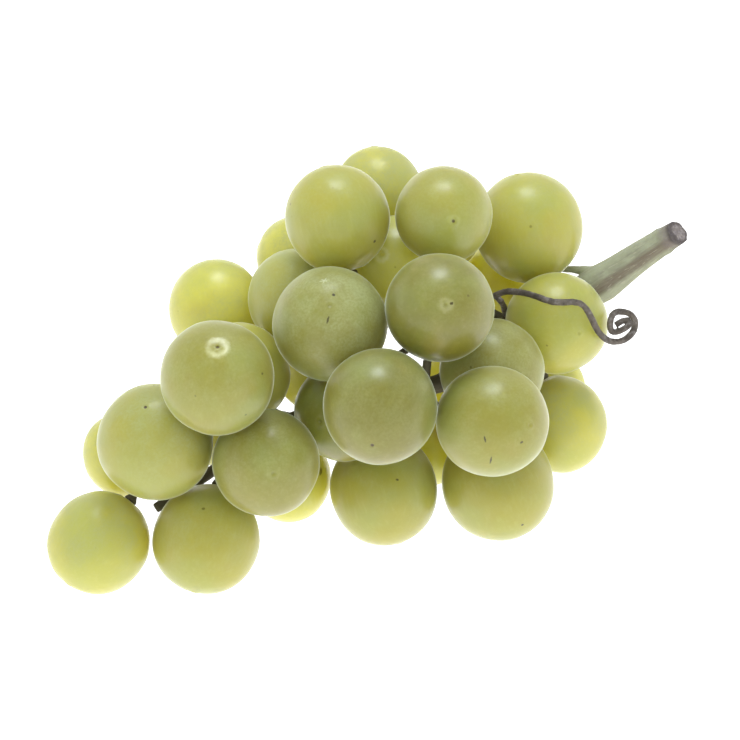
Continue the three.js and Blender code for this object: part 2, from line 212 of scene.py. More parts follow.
# What each berry looks like: how yellow its flesh is, from 0 to 1, and how much bloom it has.
# The yellowness is partly ripeness and partly painted light: the berries at the back are painted
# yellow for the light that shines through them from behind, and those in front darker olive for
# shade.
BERRY_LOOKS = {
    1: (0.75, 0.75), 2: (0.45, 0.40), 3: (0.32, 0.35), 4: (0.58, 0.40), 5: (0.55, 0.30),
    6: (0.02, 0.22), 7: (0.12, 0.85), 8: (0.45, 0.70), 9: (0.92, 0.45), 10: (0.20, 0.35),
    11: (0.55, 0.30), 12: (1.00, 0.70), 13: (0.38, 0.70), 14: (0.85, 0.75), 15: (0.65, 0.60),
    16: (0.38, 0.35), 17: (0.10, 0.40), 18: (0.90, 0.10), 19: (0.03, 0.08), 20: (0.00, 0.28),
    21: (0.36, 0.25), 22: (0.18, 0.35), 23: (0.38, 0.25), 24: (0.72, 0.70), 25: (0.12, 0.50),
    26: (1.00, 0.70), 27: (0.85, 0.25), 28: (1.00, 0.10), 29: (0.90, 0.10), 30: (1.00, 0.10),
    31: (1.00, 0.10), 33: (0.30, 0.40),
}
HIDDEN_LOOK = (0.7, 0.3)

# The blossom's scars that stand out: how pale the ring round each is, how dark its speck, and how
# far the ring is from the speck, in millimetres.
SCARS = {
    3: (0.15, 0.9, 0.9), 6: (0.22, 0.1, 0.95), 10: (0.95, 0.95, 1.45), 13: (0.0, 1.0, 1.0),
    20: (0.0, 1.0, 1.0), 27: (0.4, 0.0, 1.2),
}
FAINT_SCAR = (0.08, 0.15, 0.9)

# Marks on the skins: the berry, then across, up, length, width and turn as seen, in millimetres
# and degrees from the berry's middle, and how dark it is.
MARKS = [
    (2, 6.5, -4.2, 0.75, 0.65, 0, 0.9),
    (2, 8.8, -3.7, 0.60, 0.55, 0, 0.7),
    (2, -8.0, 2.3, 0.5, 0.5, 0, 0.5),
    (5, -2.2, -4.0, 0.45, 0.45, 0, 0.5),
    (6, 1.7, 0.5, 0.70, 0.55, 20, 1.0),
    (7, 0.7, 4.6, 0.6, 0.6, 0, 1.0),
    (7, -0.2, 0.5, 1.4, 0.40, 75, 0.85),
    (10, 7.8, 0.7, 0.6, 0.5, 0, 0.7),
    (10, 5.1, -6.2, 0.5, 0.5, 0, 0.6),
    (16, 0.0, 5.7, 0.7, 0.6, 0, 0.6),
    (16, 3.5, 8.8, 0.5, 0.5, 0, 0.5),
    (18, 6.0, 1.4, 1.6, 0.8, 60, 0.7),
    (21, 2.3, 2.1, 0.6, 0.5, 0, 0.9),
    (22, -1.6, -2.7, 1.2, 0.34, 100, 1.0),
    (22, -0.55, -6.2, 1.9, 0.34, 82, 1.0),
    (22, 4.4, -3.2, 0.6, 0.45, 10, 0.9),
    (23, 4.1, -7.2, 0.6, 0.55, 0, 0.95),
]

# Pale scratches that cross in a little star, in the same way.
SCRATCHES = [
    (7, -0.8, 7.0, 1.9, 0.3, 15, 0.8),
    (7, -0.8, 7.0, 1.7, 0.3, 75, 0.8),
    (7, -0.8, 7.0, 1.7, 0.3, 135, 0.8),
]


# Settings that a user would change

class BerrySettings(bpy.types.PropertyGroup):
    # The flesh runs from olive to yellow: partly ripeness, and partly painted light, yellow
    # standing in for light shining through the berries at the back and olive for the shade on those
    # in front.
    olive: bpy.props.FloatVectorProperty(
        name="Olive flesh", description="Flesh of the greenest berries",
        subtype="COLOR", size=3, min=0, max=1, default=(0.162, 0.150, 0.013),
    )
    yellow: bpy.props.FloatVectorProperty(
        name="Yellow flesh", description="Flesh of the ripest berries",
        subtype="COLOR", size=3, min=0, max=1, default=(0.56, 0.53, 0.085),
    )
    bloom: bpy.props.FloatVectorProperty(
        name="Bloom", description="The waxy bloom on the skins",
        subtype="COLOR", size=3, min=0, max=1, default=(0.36, 0.38, 0.17),
    )
    depth: bpy.props.FloatProperty(
        name="Light depth", description="How far light travels in the flesh",
        subtype="DISTANCE", unit="LENGTH", min=0.0, default=30 * MM,
    )
    sides: bpy.props.IntProperty(
        name="Sides", description="Faces round a berry", min=24, max=160, default=96,
    )
    uneven: bpy.props.FloatProperty(
        name="Unevenness", description="How far a skin strays from a true oval",
        subtype="DISTANCE", unit="LENGTH", min=0.0, default=0.11 * MM,
    )


class StalkSettings(bpy.types.PropertyGroup):
    green: bpy.props.FloatVectorProperty(
        name="Green bark", description="The fresh bark of the cut stalk",
        subtype="COLOR", size=3, min=0, max=1, default=(0.29, 0.295, 0.195),
    )
    brown: bpy.props.FloatVectorProperty(
        name="Brown stripe", description="The brownish stripe along the stalk",
        subtype="COLOR", size=3, min=0, max=1, default=(0.175, 0.14, 0.10),
    )
    cut: bpy.props.FloatVectorProperty(
        name="Cut end", description="The dried end where the bunch was cut",
        subtype="COLOR", size=3, min=0, max=1, default=(0.20, 0.165, 0.145),
    )
    dry: bpy.props.FloatVectorProperty(
        name="Dry tendril", description="The dead tendril",
        subtype="COLOR", size=3, min=0, max=1, default=(0.075, 0.062, 0.050),
    )
    grain: bpy.props.FloatProperty(
        name="Grain", description="Size of the little cubes that the stalk is remade from",
        subtype="DISTANCE", unit="LENGTH", min=0.0, default=0.3 * MM,
    )


class StageSettings(bpy.types.PropertyGroup):
    floor: bpy.props.FloatVectorProperty(
        name="Floor", description="The plain surface that the bunch lies on",
        subtype="COLOR", size=3, min=0, max=1, default=(0.10, 0.10, 0.10),
    )
    glow: bpy.props.FloatProperty(
        name="Floor glow", description="Light that the floor gives back", min=0, default=1.45,
    )
    surround: bpy.props.FloatProperty(
        name="Surround", description="Brightness of the white surround, low down",
        min=0, default=1.05,
    )
    ceiling: bpy.props.FloatProperty(
        name="Ceiling", description="Brightness of the surround overhead", min=0, default=0.40,
    )
    overhead: bpy.props.FloatProperty(
        name="Overhead light", description="Power of the soft light overhead",
        subtype="POWER", unit="POWER", min=0, default=2.6,
    )
    fill: bpy.props.FloatProperty(
        name="Fill light", description="Power of the wide, dull light in front",
        subtype="POWER", unit="POWER", min=0, default=2.9,
    )


# Berries

TABLE_TOUCH = 0.01 * MM  # a solid's corners that are lower than this lie on the table

# The close rings that draw the dimple and the scar, and the first of the even rings between them,
# in degrees from either end of a berry.
CLOSE_RINGS = (0.8, 1.8, 3.0, 4.4, 6.2, 8.4)
FIRST_EVEN_RING = 11

# The skin's relief, in millimetres: the stem's dimple, the low wall round it, and the crown and
# the pit of the blossom's scar. A place is a distance from the end of the berry.
DIMPLE_DEPTH, DIMPLE_REACH = 0.45, 1.5
WALL_HEIGHT, WALL_PLACE, WALL_REACH = 0.10, 2.6, 0.8
CROWN_HEIGHT, CROWN_PLACE, CROWN_REACH = 0.10, 0.55, 0.22
PIT_DEPTH, PIT_REACH = 0.12, 0.3

# The skin's unevenness: its broad and fine waves to a berry's radius, and the fine ones' share.
BROAD_WAVES = 1.1
FINE_WAVES = 2.6
FINE_SHARE = 0.35
NOISE_REACH = 0.5  # noise seldom strays farther than this from nothing
SEED_STEPS = (3.1, 1.7, 2.3)  # how far apart the berries' unevenness is taken from the noise


def corners(node):
    """A solid's corners, one row each."""
    return np.array([vertex.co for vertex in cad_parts[node].data.vertices])


def fitted_ball(points):
    """The middle and radius of the ball that the points lie on."""
    table = np.column_stack((2 * points, np.ones(len(points))))
    middle_and_rest = np.linalg.lstsq(table, (points ** 2).sum(axis=1), rcond=None)[0]
    middle = middle_and_rest[:3]
    return middle, math.sqrt(middle_and_rest[3] + middle @ middle)


def berry_place(number, stalk_corners):
    """A berry's middle, its radius and its axis, which points from the stem to the scar."""
    points = corners(f"grape_{number:02d}")
    points = points[points[:, 2] > TABLE_TOUCH]
    middle, _ = fitted_ball(points)
    reach = np.linalg.norm(stalk_corners - middle, axis=1)
    axis = middle - stalk_corners[reach.argmin()]
    axis /= np.linalg.norm(axis)
    from_middle = points - middle
    along = from_middle @ axis
    squeezed = from_middle - np.outer(along * (1 - 1 / BERRY_ASPECT), axis)
    offset, radius = fitted_ball(squeezed)
    return Vector(middle + offset), radius, Vector(axis)


def ring_turns(sides):
    """Angles from the stem end to the scar, closer together at both ends."""
    ends = [math.radians(angle) for angle in CLOSE_RINGS]
    low = math.radians(FIRST_EVEN_RING)
    high = math.pi - low
    count = sides // 2
    middle = [low + (high - low) * step / count for step in range(count + 1)]
    return ends + middle + [math.pi - angle for angle in reversed(ends)]


def swell(distance, place, reach):
    """1 where the distance is at the place, fading out over the reach, both in millimetres."""
    return math.exp(-((distance / MM - place) / reach) ** 2)


def berry_relief(turn, radius):
    """How far the skin stands out at the stem's dimple and at the blossom's scar."""
    from_stem = turn * radius
    from_scar = (math.pi - turn) * radius
    relief = WALL_HEIGHT * swell(from_stem, WALL_PLACE, WALL_REACH)
    relief -= DIMPLE_DEPTH * swell(from_stem, 0, DIMPLE_REACH)
    relief += CROWN_HEIGHT * swell(from_scar, CROWN_PLACE, CROWN_REACH)
    relief -= PIT_DEPTH * swell(from_scar, 0, PIT_REACH)
    return relief * MM


def skin_point(turn, heading, radius, uneven, shift):
    """A point on the skin of an upright berry, with its stem end down."""
    outward = Vector((
        math.sin(turn) * math.cos(heading),
        math.sin(turn) * math.sin(heading),
        -math.cos(turn),
    ))
    waves = noise.noise(outward * BROAD_WAVES + shift)
    waves += FINE_SHARE * noise.noise(outward * FINE_WAVES + shift)
    point = outward * (radius + uneven * waves / NOISE_REACH + berry_relief(turn, radius))
    point.z *= BERRY_ASPECT
    return point


def skin_faces(rings, sides):
    """Four-sided faces between the rings, and triangles round the point at each end."""
    last_point = 1 + rings * sides
    last_ring = last_point - sides
    faces = []
    for side in range(sides):
        beside = (side + 1) % sides
        faces.append((0, 1 + beside, 1 + side))
        faces.append((last_point, last_ring + side, last_ring + beside))
        for ring in range(rings - 1):
            here = 1 + ring * sides
            there = here + sides
            faces.append((here + side, here + beside, there + beside, there + side))
    return faces


def berry_mesh(name, middle, radius, axis, settings, seed):
    """An uneven oval skin, flattened where it rests on the table."""
    sides = settings.sides
    turns = ring_turns(sides)
    shift = Vector([seed * step for step in SEED_STEPS])
    turned = Vector((0, 0, 1)).rotation_difference(axis)
    turned @= Quaternion((0, 0, 1), random.Random(seed).uniform(0, 2 * math.pi))
    headings = [2 * math.pi * side / sides for side in range(sides)]
    places = [(turn, heading) for turn in turns for heading in headings]
    points = []
    for turn, heading in [(0, 0), *places, (math.pi, 0)]:
        point = middle + turned @ skin_point(turn, heading, radius, settings.uneven, shift)
        point.z = max(0, point.z)
        points.append(point)
    mesh = bpy.data.meshes.new(name)
    mesh.from_pydata(points, [], skin_faces(len(turns), sides))
    mesh.update()
    mesh.shade_smooth()
    return mesh


# The skins' patterns, in waves to the metre.
CLOUDS = 95
MOTTLES = 160
BLOOM_PATCHES = 170
SPECKS = 300
FINE_GRAIN = 900
BLOOM_GRAINS = 2300

VEINS = 14  # waves to a berry's radius
VEIN_STRETCH = 0.8  # the share of their lengthwise waves that is taken out
STAIN_EDGE, STAIN_CORE = 2.6, 0.8  # the brown stain round the stem, in millimetres

# The skins' colours that are the same on every berry.
GREEN_TINT = (0.24, 0.31, 0.10)
BROWN_TINT = (0.33, 0.25, 0.05)
VEIN_TINT = (1, 1, 0.6)
RING_COLOUR = (0.66, 0.66, 0.48)
DIMPLE_COLOUR = (0.22, 0.16, 0.07)
MARK_COLOUR = (0.045, 0.035, 0.012)
SCRATCH_COLOUR = (0.62, 0.64, 0.48)
SPECK_COLOUR = (0.065, 0.045, 0.018)

SKIN_RELIEF = 0.02 * MM
BLOOM_MOST = 0.62  # how much of the flesh the thickest bloom hides
# The extra bloom on top is partly real bloom and partly painted top light: it makes the tops paler
# and greyer, as light from above would.
BLOOM_BELOW = 0.15  # how thickly it lies underneath, and how much more on top
BLOOM_AND_LIGHT_ON_TOP = 1.05

# A mark's ragged edge, in half widths of the mark: where it fades out, where it is at its full
# strength, and how far its edge strays.
MARK_OUTSIDE = 1.60
MARK_INSIDE = 0.95
MARK_RAGGED = 0.9
MARK_WAVES = 45  # waves of its edge to a berry's radius
LEAST_FACING = 0.05  # keeps a mark in front where its place is past the berry's edge


def mark_mask(shader, outward, radius, mark):
    """A mark as it is seen on the berry, ragged at its edge."""
    _, across, up, length, width, turn, strength = mark
    right, high = across * MM / radius, up * MM / radius
    deep = math.sqrt(max(LEAST_FACING, 1 - right ** 2 - high ** 2))
    at = ACROSS * right + UP * high + TOWARD * deep
    turn = math.radians(turn)
    long_way = (ACROSS * math.cos(turn) + UP * math.sin(turn)).cross(at).cross(at).normalized()
    short_way = at.cross(long_way).normalized()
    offset = shader.vector("SUBTRACT", outward, at)
    lengthwise = shader.dot(offset, long_way * (2 * radius / (length * MM)))
    crosswise = shader.dot(offset, short_way * (2 * radius / (width * MM)))
    ragged = shader.noise(outward, MARK_WAVES, 2.0) * MARK_RAGGED
    distance = (lengthwise * lengthwise + crosswise * crosswise) ** 0.5 + ragged
    return distance.step(MARK_OUTSIDE, MARK_INSIDE) * strength


def strongest(masks):
    """The largest of some masks at each point."""
    result, *others = masks
    for mask in others:
        result = result.at_least(mask)
    return result


def flesh_colour(shader, place, outward, axis, mottle, flesh):
    """Flesh with greener clouds, browner mottles and faint pale veins from end to end."""
    cloudy = shader.noise(place, CLOUDS, 2.0)
    along = shader.dot(outward, axis)
    lengthwise = shader.vector("SCALE", axis, (0, 0, 0), (0, 0, 0), along * VEIN_STRETCH)
    veined = shader.noise(shader.vector("SUBTRACT", outward, lengthwise), VEINS, 3.0)
    colour = shader.mix(cloudy.step(0.38, 0.70), flesh, blended(flesh, GREEN_TINT, 0.35))
    colour = shader.mix(mottle.step(0.54, 0.78) * 0.5, colour, blended(flesh, BROWN_TINT, 0.45))
    return shader.mix(veined.step(0.45, 0.85) * 0.12, colour, blended(flesh, VEIN_TINT, 0.3))


def bloom_cover(shader, place, outward, patches, fine):
    """How thickly the bloom lies: in patches and in grains, and most on top of a berry, which also
    paints in light from above as paler, greyer tops.
    """
    # Painted top light as well as bloom: the upward-facing skin gets thicker, paler bloom.
    bloom_and_top_light = BLOOM_BELOW + shader.dot(outward, (0, 0, 1)).step(-0.6, 0.9) * BLOOM_AND_LIGHT_ON_TOP
    grains = shader.noise(place, BLOOM_GRAINS, 2.0, 0.6).step(0.30, 0.72)
    return (0.30 + patches * 0.70) * (0.30 + fine * 0.7 + grains * 0.7) * bloom_and_top_light


def skin_specks(shader, place, fine):
    """Faint dark specks, scattered over the skin."""
    cells = {"Vector": place, "Scale": SPECKS, "Randomness": 1.0}
    near = shader.node("ShaderNodeTexVoronoi", None, cells, output="Distance")
    pick = shader.node("ShaderNodeTexVoronoi", None, cells, output="Color")
    chosen = shader.dot(pick, (1, 0, 0)).step(0.86, 0.92)
    return (near + fine * 0.10).step(0.15, 0.09) * chosen * 0.45


def scar_masks(from_scar, scar, mottle, patches, fine):
    """The pale ring of a blossom's scar, and the dark dot inside it."""
    paleness, darkness, reach = scar
    from_ring = from_scar + (mottle - 0.5) * 1.3 + (fine - 0.5) * 1.1 - reach
    ring = from_ring.absolute().step(0.15 + reach * 0.5, 0.0)
    dot = (from_scar + fine * 0.15).step(0.44, 0.26)
    return ring * paleness * (0.25 + patches * 0.7), dot * darkness


def skin_material(number, middle, radius, axis, settings):
    """Translucent flesh under a thin skin with bloom, specks, marks and the blossom's scar."""
    ripeness_and_backlight, bloominess = BERRY_LOOKS.get(number, HIDDEN_LOOK)
    shader = Shader(
        f"grape_skin_{number:02d}",
        Subsurface_Weight=1.0,
        Subsurface_Radius=(1.0, 0.92, 0.30),
        Subsurface_Scale=settings.depth,
        IOR=1.40,
        Specular_IOR_Level=0.8,
        Coat_Weight=0.5,
        Coat_Roughness=0.27,
        Sheen_Weight=0.8,
        Sheen_Roughness=0.2,
        Sheen_Tint=(0.93, 1.0, 0.86, 1),
    )
    place = shader.place()
    outward = shader.vector("NORMALIZE", shader.vector("SUBTRACT", place, middle))
    mottle = shader.noise(place, MOTTLES, 3.0)
    fine = shader.noise(place, FINE_GRAIN, 3.0, 0.6)
    patches = shader.noise(place, BLOOM_PATCHES, 5.0, 0.62).step(0.34, 0.66)
    # Painted light as well as ripeness: backlit berries are blended towards yellow, shaded ones in
    # front are kept olive.
    flesh = blended(settings.olive, settings.yellow, ripeness_and_backlight)
    colour = flesh_colour(shader, place, outward, axis, mottle, flesh)
    bloom = bloom_cover(shader, place, outward, patches, fine) * (BLOOM_MOST * bloominess)
    colour = shader.mix(bloom * 0.35, colour, tuple(settings.bloom))

    from_scar = shader.vector("DISTANCE", outward, axis, output="Value") * (radius / MM)
    from_stem = shader.vector("DISTANCE", outward, -axis, output="Value") * (radius / MM)
    ring, dot = scar_masks(from_scar, SCARS.get(number, FAINT_SCAR), mottle, patches, fine)
    own_marks, own_scratches = (
        [mark_mask(shader, outward, radius, mark) for mark in table if mark[0] == number]
        for table in (MARKS, SCRATCHES)
    )
    marks = strongest([skin_specks(shader, place, fine), *own_marks])
    colour = shader.mix(ring, colour, RING_COLOUR)
    colour = shader.mix(from_stem.step(STAIN_EDGE, STAIN_CORE) * 0.6, colour, DIMPLE_COLOUR)
    colour = shader.mix(marks, colour, MARK_COLOUR)
    if own_scratches:
        colour = shader.mix(strongest(own_scratches), colour, SCRATCH_COLOUR)
    colour = shader.mix(dot, colour, SPECK_COLOUR)

    roughness = 0.38 + bloom * 0.4 + fine * 0.08
    relief = fine * 0.6 - marks * 0.6
    material = shader.finish(colour, roughness, relief, SKIN_RELIEF)
    shader.dust(bloom * (1 - marks.step(0.0, 0.6)) * (1 - dot), settings.bloom)
    return material


def build_berry(number, stalk_corners, settings):
    middle, radius, axis = berry_place(number, stalk_corners)
    name = f"berry_{number:02d}"
    piece = bpy.data.objects.new(name, berry_mesh(name, middle, radius, axis, settings, number))
    bpy.context.collection.objects.link(piece)
    piece.data.materials.append(skin_material(number, middle, radius, axis, settings))
    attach(piece, "root")
    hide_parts(f"grape_{number:02d}")


# Stalk and tendril

SMOOTH_ROUNDS = 4
SMOOTH_SHARE = 0.5
TENDRIL_GRAIN = 0.5  # the tendril's cubes, as a share of the stalk's


def remade(node, name, grain):
    """A solid remade from little cubes and smoothed, as a new piece."""
    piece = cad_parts[node].copy()
    piece.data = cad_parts[node].data.copy()
    piece.name = name
    for key in list(piece.keys()):
        del piece[key]
    piece.parent = None
    bpy.context.collection.objects.link(piece)
    remesh = piece.modifiers.new("remesh", "REMESH")
    remesh.mode = "VOXEL"
    remesh.voxel_size = grain
    smooth = piece.modifiers.new("smooth", "SMOOTH")
    smooth.factor = SMOOTH_SHARE
    smooth.iterations = SMOOTH_ROUNDS
    shaped = piece.evaluated_get(bpy.context.evaluated_depsgraph_get())
    mesh = bpy.data.meshes.new_from_object(shaped)
    mesh.name = name
    piece.modifiers.clear()
    piece.data = mesh
    mesh.materials.clear()
    mesh.shade_smooth()
    return piece


# The peduncle, which is the stalk's straight part: its cut end, its foot, and how it lies.
CUT_END = seen(55.6, 25.0, -17)
STALK_FOOT = seen(40.4, 15.0, -20.6)
STALK_WAY = (STALK_FOOT - CUT_END).normalized()
STALK_SIDE = STALK_WAY.cross(TOWARD).normalized()
STALK_FRONT = STALK_SIDE.cross(STALK_WAY).normalized()
PEDUNCLE_LENGTH = 24 * MM
PEDUNCLE_REACH = 6 * MM  # nothing of the peduncle is farther from its middle

CUT_SLANT = 0.55  # how far the cut leans back, for each millimetre towards the viewer
CUT_REACH = 2.2 * MM  # how far the stalk's front stands out from its middle

# The bark's relief, in millimetres. A place is across the peduncle or along it from the cut.
SWELLING = 0.02
BROAD_RIBS, FINE_RIBS = 0.15, 0.05
RIDGE_HEIGHT, RIDGE_PLACE, RIDGE_REACH = 0.22, -0.3, 0.5
COLLAR_HEIGHT, COLLAR_PLACE, COLLAR_REACH = 0.16, 4.4, 0.7
CUT_FIBRES = 0.16
BRANCH_SWELLING, BRANCH_RIBS = 0.05, 0.06

# The bark's relief, in waves to the metre.
RIBS_ACROSS, RIBS_ALONG = 900, 60
FINER = 2.7  # how many times closer the fine ribs are
FIBRES_ACROSS = 2100
BRANCH_WAVES = 700

# The bark's patterns: fibres, wide patches and streaks are in waves to the millimetre, and are
# drawn out along the stalk, and the others are in waves to the metre.
DRAWN_OUT = 0.10
FIBRES = 2.6
WIDE_PATCHES = 0.8
STREAKS = 2.0
BLOTCHES = 420
PITH = 1500
BARK_BUMPS = 0.12 * MM

# The brown stripe: how far across it is, how far it wanders, and where it ends along the stalk.
STRIPE_PLACE = -0.9
STRIPE_WANDER = 0.7
STRIPE_FADES, STRIPE_ENDS = 21, 27
# Painted shade: the branches inside the bunch are painted near-black for the shade the berries cast
# on them, fading in over this distance.
BRANCH_SHADE_FADE = 5  # how far past the peduncle the bark is as dark as the branches

# The bark's colours besides those in the settings.
PALE_BARK = (0.36, 0.37, 0.245)
FIBRE_COLOUR = (0.22, 0.20, 0.145)
STREAK_COLOUR = (0.46, 0.42, 0.31)
# Painted light: the pale colour along both edges of the stalk as the camera sees them.
EDGE_LIGHT_COLOUR = (0.42, 0.44, 0.29)
# Painted shade on the branches among the berries.
BRANCH_SHADE_COLOUR = (0.085, 0.068, 0.036)
FACE_COLOUR = (0.20, 0.17, 0.16)
PITH_COLOUR = (0.34, 0.30, 0.285)
RIM_COLOUR = (0.075, 0.062, 0.058)


def rough_stalk(piece):
    """A slanting broken cut, ridges along the bark, and a swelling back to full thickness."""
    normals = [normal.vector.copy() for normal in piece.data.vertex_normals]
    for vertex, normal in zip(piece.data.vertices, normals):
        point = vertex.co.copy()
        from_cut = point - CUT_END
        along = from_cut.dot(STALK_WAY)
        side, front = from_cut.dot(STALK_SIDE), from_cut.dot(STALK_FRONT)
        if along < PEDUNCLE_LENGTH and math.hypot(side, front) < PEDUNCLE_REACH:
            grain = Vector((side * RIBS_ACROSS, front * RIBS_ACROSS, along * RIBS_ALONG))
            relief = SWELLING + BROAD_RIBS * noise.noise(grain)
            relief += FINE_RIBS * noise.noise(grain * FINER)
            relief += COLLAR_HEIGHT * swell(along, COLLAR_PLACE, COLLAR_REACH)
            if front > 0:
                relief += RIDGE_HEIGHT * swell(side, RIDGE_PLACE, RIDGE_REACH)
            vertex.co += normal * (relief * MM)
            fibres = noise.noise(Vector((side * FIBRES_ACROSS, front * FIBRES_ACROSS, 0)))
            cut = CUT_SLANT * max(0.0, front + CUT_REACH) + fibres * CUT_FIBRES * MM
            if along < cut:
                vertex.co += STALK_WAY * (cut - along)
        else:
            relief = BRANCH_SWELLING + BRANCH_RIBS * noise.noise(point * BRANCH_WAVES)
            vertex.co += normal * (relief * MM)
    piece.data.update()


def bark_colour(shader, settings, lie, stretched, fibres, blotches):
    """Green bark with a brown stripe and pale streaks, painted light along its edges as seen, and
    painted shade on the darker branches.
    """
    along, side, front = lie
    branches = PEDUNCLE_LENGTH / MM
    wide = shader.noise(stretched, WIDE_PATCHES, 2.0)
    stripe = (side - STRIPE_PLACE - wide * STRIPE_WANDER).absolute().step(1.45, 0.45)
    stripe = stripe * front.step(-1.2, 0.6) * (0.35 + fibres * 0.95)
    stripe = stripe * along.step(STRIPE_ENDS, STRIPE_FADES)
    streaks = shader.noise(shader.vector("MULTIPLY", stretched, (2.2, 1.6, 1.6)), STREAKS, 2.0)
    # Painted light: the bark is painted paler along both edges as seen, standing in for light from
    # the white surround.
    edge = side.step(-1.7, -2.3) + side.step(1.6, 2.6)
    colour = shader.mix(blotches.step(0.4, 0.7), tuple(settings.green), PALE_BARK)
    colour = shader.mix(fibres.step(0.46, 0.70) * 0.55, colour, FIBRE_COLOUR)
    colour = shader.mix(stripe, colour, tuple(settings.brown))
    colour = shader.mix(streaks.step(0.62, 0.70) * 0.45, colour, STREAK_COLOUR)
    colour = shader.mix(edge * 0.45, colour, EDGE_LIGHT_COLOUR)
    # Painted shade: past the peduncle the bark turns near-black, where the berries shade the
    # branches.
    return shader.mix(along.step(branches, branches + BRANCH_SHADE_FADE) * 0.9, colour, BRANCH_SHADE_COLOUR)


def cut_colour(shader, settings, colour, from_face, from_axis, fibres, pith):
    """The colour of the bark with its dried end, the face of the cut and its dark rim."""
    face = from_face.step(0.5, 0.2)
    dried = (from_face + fibres * 2.2).step(4.2, 2.0)
    rim = from_face.step(1.15, 0.3) * from_axis.step(1.3, 1.9)
    colour = shader.mix(dried * 0.75, colour, tuple(settings.cut))
    colour = shader.mix(face, colour, FACE_COLOUR)
    colour = shader.mix(face * pith.step(0.45, 0.62) * 0.7, colour, PITH_COLOUR)
    return shader.mix(rim * 0.8, colour, RIM_COLOUR), face


def bark_material(settings):
    """Grey-green bark with a brown stripe and pale streaks along it, and a dried cut end."""
    shader = Shader(
        "green_stem",
        IOR=1.45,
        Specular_IOR_Level=0.35,
        Subsurface_Weight=0.08,
        Subsurface_Radius=(1.0, 0.8, 0.3),
        Subsurface_Scale=0.8 * MM,
    )
    place = shader.place()
    from_end = shader.vector("SUBTRACT", place, CUT_END)
    along, side, front = (
        shader.dot(from_end, way / MM) for way in (STALK_WAY, STALK_SIDE, STALK_FRONT)
    )
    stretched = shader.node("ShaderNodeCombineXYZ", None, (along * DRAWN_OUT, side, front))
    fibres = shader.noise(stretched, FIBRES, 4.0, 0.6)
    blotches = shader.noise(place, BLOTCHES, 3.0)
    pith = shader.noise(place, PITH, 3.0, 0.6)
    from_face = along - (front + CUT_REACH / MM).at_least(0.0) * CUT_SLANT
    from_axis = (side * side + front * front) ** 0.5
    lie = (along, side, front)
    colour = bark_colour(shader, settings, lie, stretched, fibres, blotches)
    colour, face = cut_colour(shader, settings, colour, from_face, from_axis, fibres, pith)
    roughness = 0.52 + fibres * 0.25
    height = fibres + blotches * 0.35 + face * pith * 0.8
    return shader.finish(colour, roughness, height, BARK_BUMPS)


DRY_PATCH_COLOUR = (0.15, 0.125, 0.10)
# The next two colours are painted light: a paler one for highlight on the wrinkles' crests and a
# near-black one for shade in their creases.
RIDGE_HIGHLIGHT_COLOUR = (0.30, 0.27, 0.25)
CREASE_SHADE_COLOUR = (0.035, 0.026, 0.020)
DRY_WRINKLES, DRY_PATCHES = 850, 330  # waves to the metre
DRY_BUMPS = 0.10 * MM

# The tendril's relief, in millimetres, with its waves to the metre.
WRINKLE_HEIGHT, WRINKLE_WAVES = 0.05, 1100
KNOT_HEIGHT, KNOT_WAVES = 0.07, 350
SHRINKING = 0.04


def dry_material(settings):
    """Dead, wrinkled grey-brown bark, with painted highlight on the crests of the wrinkles and
    painted shade in their creases.
    """
    shader = Shader("dry_stem", IOR=1.45, Specular_IOR_Level=0.4)
    place = shader.place()
    wrinkles = shader.noise(place, DRY_WRINKLES, 4.0, 0.65)
    patches = shader.noise(place, DRY_PATCHES, 3.0)
    colour = shader.mix(patches.step(0.35, 0.7), tuple(settings.dry), DRY_PATCH_COLOUR)
    # Painted light: the crests of the wrinkles are painted paler, as if lit, and the creases
    # between them near-black, as if shaded.
    colour = shader.mix(wrinkles.step(0.50, 0.72) * 0.6, colour, RIDGE_HIGHLIGHT_COLOUR)
    colour = shader.mix(wrinkles.step(0.48, 0.30) * 0.7, colour, CREASE_SHADE_COLOUR)
    roughness = 0.42 + wrinkles * 0.3
    return shader.finish(colour, roughness, wrinkles + patches * 0.5, DRY_BUMPS)


def wrinkle_tendril(piece):
    """Wrinkles and knots on the dry bark."""
    normals = [normal.vector.copy() for normal in piece.data.vertex_normals]
    for vertex, normal in zip(piece.data.vertices, normals):
        point = vertex.co
        relief = WRINKLE_HEIGHT * noise.noise(point * WRINKLE_WAVES)
        relief += KNOT_HEIGHT * noise.noise(point * KNOT_WAVES)
        vertex.co = point + normal * ((relief - SHRINKING) * MM)
    piece.data.update()


# Operators

class GRAPES_OT_berries(bpy.types.Operator):
    """Puts a skin round every grape"""

    bl_idname = "grapes.berries"
    bl_label = "Berries"

    def execute(self, context):
        stalk_corners = corners("stalk")
        for number in range(1, BERRIES + 1):
            build_berry(number, stalk_corners, context.scene.grape_berries)
        return {"FINISHED"}


class GRAPES_OT_stalk(bpy.types.Operator):
    """Gives the stalk its bark and its cut end"""

    bl_idname = "grapes.stalk"
    bl_label = "Stalk"

    def execute(self, context):
        settings = context.scene.grape_stalk
        piece = remade("stalk", "green_stalk", settings.grain)
        rough_stalk(piece)
        piece.data.materials.append(bark_material(settings))
        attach(piece, "root")
        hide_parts("stalk")
        return {"FINISHED"}


class GRAPES_OT_tendril(bpy.types.Operator):
    """Gives the tendril its dry bark"""

    bl_idname = "grapes.tendril"
    bl_label = "Tendril"

    def execute(self, context):
        settings = context.scene.grape_stalk
        piece = remade("tendril", "dry_tendril", settings.grain * TENDRIL_GRAIN)
        wrinkle_tendril(piece)
        piece.data.materials.append(dry_material(settings))
        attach(piece, "root")
        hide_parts("tendril")
        return {"FINISHED"}


